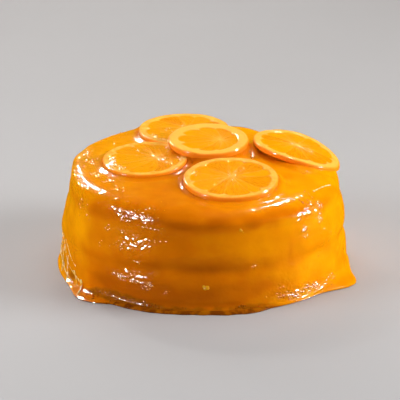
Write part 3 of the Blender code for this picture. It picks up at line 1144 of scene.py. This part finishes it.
def depth_and_shade_at(place, normal):
    """How deep the glaze looks at a point, with the painted shade and light that it carries."""
    angle, height, radius = place_on_side(place)
    side = 1 - ease(height / MM, SHOULDER_LOW, SHOULDER_HIGH)
    # Painted shade across the front of the side.
    deep_and_shaded = FRONT_SHADE_SHARE * bell(degrees_apart(angle, FRONT_SHADE_TOWARDS), FRONT_SHADE_SPREAD)
    # The joint bands carry painted shade, so they are strongest at the front.
    band_shade = BAND_FAINT + (1 - BAND_FAINT) * bell(degrees_apart(angle, BAND_SHADE_TOWARDS), BAND_SHADE_SPREAD)
    for band in JOINT_AND_SHADE_BANDS:
        drift = lumps(Vector((place.x, place.y, band.height)), BAND_WANDER_SIZE)
        level = band.height + band.wander * drift
        patchy = 1 + BAND_PATCHY * lumps(Vector((place.x, place.y, 2 * place.z)), BAND_PATCH_SIZE)
        deep_and_shaded += band.strength * band_shade * patchy * bell(height / MM - level, band.half)
    # Blotches of painted shade, painted light and varied tone.
    for blotch in TONE_SHADE_AND_LIGHT_BLOTCHES:
        near = bell(along_side(angle, blotch.angle, radius), blotch.run)
        deep_and_shaded += blotch.strength * near * bell(height / MM - blotch.height, blotch.rise)
    # Painted shade round the slices and on the front of the crown.
    nearest = min(abs(past_rim(kind, place.x, place.y)) for kind in SLICES)
    shaded = bell(degrees_apart(angle, CROWN_SHADE_TOWARDS), CROWN_SHADE_SPREAD)
    pooled_and_shaded = RIM_POOL_AND_SHADE * bell(nearest, RIM_POOL_AND_SHADE_REACH) + CROWN_SHADE * shaded
    clouds = DEPTH_CLOUDS * lumps(place, DEPTH_CLOUD_SIZE)
    return DEPTH_LEAST + deep_and_shaded * side + pooled_and_shaded * (1 - side) + clouds


paint(coat, "depth", depth_and_shade_at)
print("painted", len(coat.data.vertices), "vertices with the depth of the glaze")

# %% [markdown]
# Along the foot, and in a few holes at the left where the glaze ran thin, the brown crust of the
# cake shows. Its upper edge is ragged and rises in one low arch. It is painted as a share, so
# that the finish can fade from glaze to crust.

# %% Paint the bare crust
CRUST_FROM = -141
CRUST_TO = -60
CRUST_HEIGHT = 3.6
CRUST_ARCH = (-127, 16, 6.0)
CRUST_RAGGED = 2.2
CRUST_RAGGED_SIZE = 8 * MM
CRUST_FINE = 0.9
CRUST_FINE_SIZE = 2.6 * MM
CRUST_FADE = 1.8
CRUST_HOLES = ((-166, 9, 6, 4), (-153, 6.5, 7, 3.2), (-174, 14, 4, 5))
HOLE_SHARE = 1.2
TONGUE_RADIUS = (116, 119)


def crust_at(place, normal):
    """How much bare crust shows at a point low down."""
    angle, height, radius = place_on_side(place)
    height /= MM
    inside = min(signed_apart(angle, CRUST_FROM), -signed_apart(angle, CRUST_TO))
    coarse = CRUST_RAGGED * lumps(Vector((place.x, place.y, 0)), CRUST_RAGGED_SIZE)
    ragged = coarse + CRUST_FINE * lumps(place, CRUST_FINE_SIZE)
    arch_at, arch_half, arch_height = CRUST_ARCH
    arch = arch_height * bell(signed_apart(angle, arch_at), arch_half)
    edge = (CRUST_HEIGHT + arch + ragged) * ease(inside, -6, 8)
    crust = 1 - ease(height, edge - CRUST_FADE, edge + CRUST_FADE)
    for hole_angle, hole_height, run, rise in CRUST_HOLES:
        along = along_side(angle, hole_angle, radius)
        crust += HOLE_SHARE * bell(along, run) * bell(height - hole_height, rise)
    return crust * (1 - ease(normal.z, 0.8, 0.95) * ease(radius / MM, *TONGUE_RADIUS))


paint(coat, "crust", crust_at)
print("bare crust from", CRUST_FROM, "to", CRUST_TO, "degrees, and", len(CRUST_HOLES), "holes")

# %% [markdown]
# Where the steps and beads are, the skin of the glaze is also broken finer than the mesh can
# hold. How broken it is gets painted too, and the finish turns it into ripples. Flat stretches of
# the crown stay calm.

# %% Paint where the skin is broken
FROTH_SHARE = 0.10
SIDE_FROTH = 0.38
CROWN_FROTH = 0.55
SHOULDER_FROTH = 1.0
FLAT_CALM = 0.85
LEFT_CALM = (0.88, 0.98)
RIGHT_CALM = (0.55, 0.80)
LEFT_SHOULDER = (-172, 40, 98 * MM, 9 * MM)
LEDGE_HEIGHT = (60 * MM, 70 * MM)


def froth_at(place, normal):
    """How broken the skin of the glaze is at a point: strongest where the steps and beads are."""
    angle, height, radius = place_on_side(place)
    froth = FROTH_SHARE
    for patch in STEP_PATCHES + SIDE_CLUSTERS:
        near = bell(along_side(angle, patch.angle, radius), patch.run * 0.9)
        froth += SIDE_FROTH * near * bell(height / MM - patch.height, patch.rise * 1.2)
    froth = min(froth, 2 * SIDE_FROTH)
    for spill in CROWN_CLUSTERS:
        near = bell(place.x / MM - spill.x, spill.run_x)
        froth += CROWN_FROTH * near * bell(place.y / MM - spill.y, spill.run_y)
    around, half, middle, reach = LEFT_SHOULDER
    ledge = bell(degrees_apart(angle, around), half) * bell(radius - middle, reach)
    froth += SHOULDER_FROTH * (ledge * ease(height, *LEDGE_HEIGHT))
    calm = ease(normal.z, *(LEFT_CALM if place.x < 0 else RIGHT_CALM))
    return min(1, froth) * (1 - FLAT_CALM * calm)


paint(coat, "froth", froth_at)
print("broken skin round", len(STEP_PATCHES + SIDE_CLUSTERS + CROWN_CLUSTERS), "patches and clusters")

# %% [markdown]
# Finishes are networks of shader nodes. Written as sums of wrapped sockets they read like the
# formulas that they are: one class adds the Math nodes, and its one other method adds any other
# node. Colours are mixed by a Mix node, because a Math node would turn them grey.


# %% A way to write shader maths
class Shade:
    """A shader value. Sums, products and powers of shades add the Math nodes that they need."""

    def __init__(self, tree, socket):
        self.tree = tree
        self.socket = socket

    def add(self, kind, settings=None, sockets=None, result=0):
        """Adds any node: its settings first, then the values or links of its sockets."""
        node = self.tree.nodes.new(kind)
        for name, value in (settings or {}).items():
            setattr(node, name, value)
        for name, value in (sockets or {}).items():
            if isinstance(value, Shade):
                self.tree.links.new(value.socket, node.inputs[name])
            else:
                node.inputs[name].default_value = value
        return Shade(self.tree, node.outputs[result])

    def math(self, operation, *values, clamp=False):
        settings = {"operation": operation, "use_clamp": clamp}
        return self.add("ShaderNodeMath", settings, dict(enumerate(values)))

    def __add__(self, other):
        return self.math("ADD", self, other)

    __radd__ = __add__

    def __sub__(self, other):
        return self.math("SUBTRACT", self, other)

    def __rsub__(self, other):
        return self.math("SUBTRACT", other, self)

    def __mul__(self, other):
        return self.math("MULTIPLY", self, other)

    __rmul__ = __mul__

    def clamped(self):
        return self.math("ADD", self, 0.0, clamp=True)

    def ramp(self, start, end):
        """A smooth step of this value from 0 at start to 1 at end."""
        sockets = {"Value": self, "From Min": start, "From Max": end}
        return self.add("ShaderNodeMapRange", {"interpolation_type": "SMOOTHSTEP"}, sockets)

    def mix(self, low, high):
        """A colour that goes from low to high as this value goes from 0 to 1."""
        return self.add("ShaderNodeMix", {"data_type": "RGBA"}, {0: self, 6: low, 7: high}, result=2)


class Finish:
    """A material with its shader, ready to be wired."""

    def __init__(self, name, fixed):
        self.material = bpy.data.materials.new(name)
        self.material.use_nodes = True
        self.tree = self.material.node_tree
        self.shader = self.tree.nodes["Principled BSDF"]
        self.start = Shade(self.tree, None)
        for socket, value in fixed.items():
            self.shader.inputs[socket].default_value = value

    def drive(self, socket, shade):
        """Links a shade to one of the shader's sockets."""
        self.tree.links.new(shade.socket, self.shader.inputs[socket])

    def painted(self, name):
        """What was painted on the vertices under a name."""
        return self.start.add("ShaderNodeAttribute", {"attribute_name": name}, result=2)

    def place(self):
        """The point's own place in metres."""
        return self.start.add("ShaderNodeTexCoord", result=3)

    def noise(self, size, detail=2.0, where=None):
        """Cloudy noise from 0 to 1 whose clouds have a size in metres."""
        sockets = {"Vector": where or self.place(), "Scale": 1 / size, "Detail": detail}
        return self.start.add("ShaderNodeTexNoise", None, sockets)

    def bump(self, height, strength, distance):
        """Fine relief for the normal."""
        sockets = {"Height": height, "Strength": strength, "Distance": distance}
        self.drive("Normal", self.start.add("ShaderNodeBump", None, sockets))

    def give_to(self, piece):
        piece.data.materials.clear()
        piece.data.materials.append(self.material)


def colour(red, green, blue):
    """A colour in linear light."""
    return (red, green, blue, 1.0)


# %% [markdown]
# Glaze is a wet sugar gel: light enters it, scatters a few millimetres and comes out saturated,
# and its skin mirrors the lamps sharply. So the base has subsurface scattering with a red-heavy
# radius, and its own skin is smooth enough to mirror the lamps. The painted depth, which also
# carries painted shade and some painted light, and a little noise lead the colour from bright
# over amber to deep, with a few pale clouds where it is thin.
# Fine ripples tilt the skin where it was painted as broken, so that a lamp's image breaks up into
# small sharp flecks. Where crust shows, brown specks roughen it.

# %% The finish of the glaze
GLAZE_BRIGHT = colour(0.93, 0.345, 0.0008)
GLAZE_AMBER = colour(0.69, 0.172, 0.0006)
GLAZE_DEEP = colour(0.48, 0.100, 0.0005)
GLAZE_PALE = colour(0.98, 0.43, 0.006)
CRUST_DARK = colour(0.31, 0.078, 0.0008)
CRUST_LIGHT = colour(0.43, 0.120, 0.0010)
RIPPLE_SIZE = 2.3 * MM
RIPPLE_LIE = (1.0, 1.0, 1.15)
RIPPLE_DEPTH = 1.15
CLOUD_SIZE = 16 * MM
CLOUD_STRENGTH = 0.35
SPECK_SIZE = 3.5 * MM
SPECK_RELIEF = 0.35
SKIN_SIZE = 6 * MM
SKIN_RELIEF = 0.06
GLAZE_ROUGH = 0.10
CRUST_ROUGHER = 0.03
WET = {
    "IOR": 1.42,
    "Subsurface Radius": (1.0, 0.36, 0.05),
    "Subsurface Scale": 0.006,
}


def glaze_finish(name, scatter):
    """Clear wet orange glaze over what was painted as its depth, shade and light, and its crust."""
    finish = Finish(name, {**WET, "Subsurface Weight": scatter})
    depth = finish.painted("depth")
    crust = finish.painted("crust")
    clouds = finish.noise(CLOUD_SIZE, 3.0)
    specks = finish.noise(SPECK_SIZE, 4.0)
    # The deep end carries the painted shade, the paler patches the painted light.
    deep_and_shaded = (depth + (clouds - 0.5) * CLOUD_STRENGTH).clamped()
    pale = clouds.ramp(0.62, 0.80) * (1 - deep_and_shaded) * 0.6
    amber = (deep_and_shaded * 2).clamped().mix(GLAZE_BRIGHT, GLAZE_AMBER)
    body = pale.mix((deep_and_shaded * 2 - 1).clamped().mix(amber, GLAZE_DEEP), GLAZE_PALE)
    bread = specks.ramp(0.35, 0.75).mix(CRUST_DARK, CRUST_LIGHT)
    bare = crust.clamped()
    finish.drive("Base Color", bare.mix(body, bread))
    finish.drive("Roughness", GLAZE_ROUGH + bare * CRUST_ROUGHER)
    places = {0: finish.place(), 1: RIPPLE_LIE}
    lying = finish.start.add("ShaderNodeVectorMath", {"operation": "MULTIPLY"}, places)
    ripples = (finish.noise(RIPPLE_SIZE, 0.5, lying) - 0.5) * RIPPLE_DEPTH
    skin = finish.noise(SKIN_SIZE, 2.0) * SKIN_RELIEF + ripples * finish.painted("froth").clamped()
    finish.bump(skin + specks * bare * SPECK_RELIEF, 1.0, MM)
    return finish


glaze = glaze_finish("orange_glaze", 0.22)
glaze.give_to(coat)
print("glaze nodes:", len(glaze.tree.nodes))

# %% [markdown]
# The slices take the same wet skin over three colours. Their rind is a deep orange, their pith is
# pale, and the flesh is a golden orange that changes a little from one segment to the next. Fine
# streaks that point at the core come from noise on the slice's flat net, read as turn and radius.
# The slices soaked up more or less syrup, so each keeps its own share of paleness and ripple.

# %% The finish of the candied fruit
PITH = colour(0.95, 0.49, 0.075)
PITH_WET = colour(0.95, 0.34, 0.020)
FLESH = colour(0.90, 0.330, 0.0012)
FLESH_DARK = colour(0.74, 0.190, 0.0006)
RIND = colour(0.88, 0.235, 0.0030)
RIND_FADE = 0.08
FRUIT_SCATTER = 0.25
FRUIT_CLOUD_SIZE = 6 * MM
STREAK_RELIEF = 0.22


def fruit_finish(name, scatter, pale, ripple):
    """Candied orange: pale is the share of paleness that it keeps, ripple how uneven its skin is."""
    finish = Finish(name, {**WET, "Subsurface Weight": scatter})
    add = finish.start.add
    flat = add("ShaderNodeUVMap", {"uv_map": "flat"})
    centred = add("ShaderNodeVectorMath", {"operation": "SUBTRACT"}, {0: flat, 1: (0.5, 0.5, 0.0)})
    parts = add("ShaderNodeSeparateXYZ", None, {0: centred})
    across = Shade(finish.tree, parts.socket.node.outputs[1])
    turn = finish.start.math("ARCTAN2", across, parts)
    radius = add("ShaderNodeVectorMath", {"operation": "LENGTH"}, {0: centred}, result=1)
    polar = add("ShaderNodeCombineXYZ", None, {0: turn * 9.0, 1: radius * 5.0})
    streaks = add("ShaderNodeTexNoise", None, {"Vector": polar, "Scale": 2.4, "Detail": 3.0})
    mottle = finish.noise(FRUIT_CLOUD_SIZE, 3.0)
    shade = (finish.painted("tone") * 0.5 + streaks.ramp(0.35, 0.70) * 0.6 - 0.15).clamped()
    flesh = shade.mix(FLESH, FLESH_DARK)
    pith = (mottle.ramp(0.35, 0.65) * (1 - pale)).mix(PITH, PITH_WET)
    inside = finish.painted("flesh").mix(pith, flesh)
    rind = colour(*(low + (high - low) * RIND_FADE * pale for low, high in zip(RIND[:3], PITH[:3])))
    finish.drive("Base Color", finish.painted("rind").mix(inside, rind))
    finish.drive("Roughness", 0.06 + mottle * 0.08)
    skin = (finish.noise(RIPPLE_SIZE, 0.5) - 0.5) * ripple
    finish.bump(streaks * finish.painted("flesh") * STREAK_RELIEF + skin, 1.0, MM)
    return finish


Candy = namedtuple("Candy", "pale ripple")
CANDIES = {
    "orange_slice_back": Candy(0.50, 0.14),
    "orange_slice_left": Candy(0.28, 0.22),
    "orange_slice_front": Candy(0.45, 0.10),
    "orange_slice_right": Candy(0.85, 0.07),
    "orange_slice_middle": Candy(0.95, 0.06),
}
for node, candy in CANDIES.items():
    skin = fruit_finish(node.replace("orange_slice", "candied_orange"), FRUIT_SCATTER, *candy)
    skin.give_to(candied[node])
print("fruit nodes:", len(skin.tree.nodes))

# %% [markdown]
# The small pieces share one simple recipe, a wet skin over two colours. Syrup that seeped out is
# the darkest thing here, a clear brown. Beads have the tones of the glaze, drops those of the wet
# pith, and strands, on the foot and on the crown, dried to a pale sugar, paler than they strictly
# need to be: the extra paleness is a painted highlight for the light caught along them. Pulp is the
# only opaque scrap: torn yellow fruit under a thin wet film.

# %% The finishes of the small pieces
SYRUP_DARK = colour(0.15, 0.032, 0.0008)
SYRUP_AMBER = colour(0.34, 0.095, 0.0010)
PULP_YELLOW = colour(0.84, 0.42, 0.004)
PULP_ORANGE = colour(0.76, 0.29, 0.002)
# The strands' pale sugar is partly a painted highlight.
SUGAR_PALE_AND_HIGHLIGHT = colour(0.98, 0.74, 0.42)
SUGAR_AMBER = colour(0.96, 0.40, 0.020)
SPECKLE_RELIEF = 0.2


def speckled_finish(name, dark, light, size, rough, scatter, shine=0.5):
    """A wet finish that wavers between two colours."""
    finish = Finish(name, {**WET, "Subsurface Weight": scatter})
    clouds = finish.noise(size, 4.0)
    finish.drive("Base Color", clouds.ramp(0.38, 0.66).mix(dark, light))
    finish.drive("Roughness", rough + clouds * 0.1)
    finish.bump(finish.noise(size * 0.4, 3.0), SPECKLE_RELIEF, 0.5 * MM)
    finish.shader.inputs["Specular IOR Level"].default_value = shine
    return finish


speckled_finish("foot_syrup", SYRUP_DARK, SYRUP_AMBER, 0.006, 0.12, 0.15, 0.05).give_to(syrup)
speckled_finish("syrup_bubble", SYRUP_AMBER, GLAZE_DEEP, 0.004, 0.05, 0.15).give_to(bubbles)
speckled_finish("syrup_drop", PITH_WET, PITH, 0.004, 0.14, 0.30).give_to(drops)
speckled_finish("glaze_bead", GLAZE_AMBER, GLAZE_BRIGHT, 0.004, 0.14, 0.22).give_to(beads)
# Painted highlight: the strands' paleness stands in for light caught along them.
speckled_finish("dried_strand_and_highlight", SUGAR_AMBER, SUGAR_PALE_AND_HIGHLIGHT, 0.003, 0.14, 0.30).give_to(strands)
speckled_finish("fruit_pulp", PULP_ORANGE, PULP_YELLOW, 0.0012, 0.25, 0.30, 0.2).give_to(pulp)

# %% [markdown]
# A plain floor and soft lamps make the setting. Wide lamps light the cake from the right, from
# above and weakly from the left, and they are kept out of the mirror of its skin, where they
# would lay a veil over the saturated glaze. Smaller lamps do the reverse: they only show as
# highlights, small and bright. What else the skin mirrors is a warm sky.

# %% Set the floor and the light
FLOOR_SIZE = 12.0
FLOOR_PALE = colour(0.40, 0.395, 0.40)
FLOOR_SHADE = colour(0.37, 0.365, 0.37)
AIM = Vector((0.0, 0.0, 0.05))
Lamp = namedtuple("Lamp", "name azimuth elevation distance width height power gleams")
LAMPS = (
    Lamp("lamp_right", -8, 24, 1.5, 0.80, 0.80, 27.0, False),
    Lamp("lamp_left", -158, 24, 1.5, 0.80, 0.80, 15.0, False),
    Lamp("lamp_back", 100, 30, 1.6, 0.80, 0.80, 9.5, False),
    Lamp("lamp_top", 60, 80, 1.5, 1.00, 1.00, 9.5, False),
    Lamp("gleam_right", -4, 18, 1.5, 0.07, 0.07, 58.0, True),
    Lamp("gleam_left", -148, 19, 1.5, 0.06, 0.06, 42.0, True),
    Lamp("gleam_back", 128, 20, 1.5, 0.05, 0.05, 8.0, True),
    Lamp("gleam_fruit", 118, 38, 1.5, 0.07, 0.07, 22.0, True),
    Lamp("gleam_top", 61, 51, 1.5, 0.05, 0.05, 8.0, True),
)
SKY = colour(0.92, 0.86, 0.80)
SKY_MIRRORED = colour(0.90, 0.42, 0.004)
FLOOR_CLOUD_SIZE = 0.4
SKY_GLOW = 0.07
SKY_SEEN = 0.55
SKY_IN_MIRROR = 0.75


def lay_floor():
    """A wide plain floor under the cake."""
    bpy.ops.mesh.primitive_plane_add(size=FLOOR_SIZE, location=(0, 0, 0))
    floor = bpy.context.object
    floor.name = "floor"
    finish = Finish("pale_floor", {"Roughness": 0.75, "Specular IOR Level": 0.2})
    finish.drive("Base Color", finish.noise(FLOOR_CLOUD_SIZE, 3.0).mix(FLOOR_PALE, FLOOR_SHADE))
    finish.give_to(floor)
    floor.visible_glossy = False
    return floor


def hang_lamp(lamp):
    """An area lamp that looks at the cake from its direction."""
    back = direction(lamp.azimuth, lamp.elevation)
    bpy.ops.object.light_add(type="AREA", location=AIM + back * lamp.distance)
    light = bpy.context.object
    light.name = lamp.name
    light.rotation_euler = back.to_track_quat("Z", "Y").to_euler()
    light.data.shape = "RECTANGLE"
    light.data.size = lamp.width
    light.data.size_y = lamp.height
    light.data.energy = lamp.power
    light.visible_glossy = lamp.gleams
    light.visible_diffuse = not lamp.gleams
    return light


def raise_sky():
    """A sky that glows weakly on the cake and looks pale behind it."""
    world = bpy.data.worlds.new("studio")
    bpy.context.scene.world = world
    world.use_nodes = True
    background = world.node_tree.nodes["Background"]
    seen = Shade(world.node_tree, None).add("ShaderNodeLightPath")
    mirrored = Shade(world.node_tree, seen.socket.node.outputs["Is Glossy Ray"])
    strength = SKY_GLOW + seen * (SKY_SEEN - SKY_GLOW) + mirrored * (SKY_IN_MIRROR - SKY_GLOW)
    world.node_tree.links.new(mirrored.mix(SKY, SKY_MIRRORED).socket, background.inputs["Color"])
    world.node_tree.links.new(strength.socket, background.inputs["Strength"])


lay_floor()
for lamp in LAMPS:
    hang_lamp(lamp)
raise_sky()
bpy.context.scene.view_settings.view_transform = "Standard"
print("lamps:", [lamp.name for lamp in LAMPS])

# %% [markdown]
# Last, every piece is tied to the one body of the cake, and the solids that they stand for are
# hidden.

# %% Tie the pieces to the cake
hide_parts("cake")
for piece in (coat, beads, strands, syrup, bubbles, pulp):
    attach(piece, "root")
for node, piece in candied.items():
    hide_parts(node)
    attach(piece, "root")
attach(drops, "root")
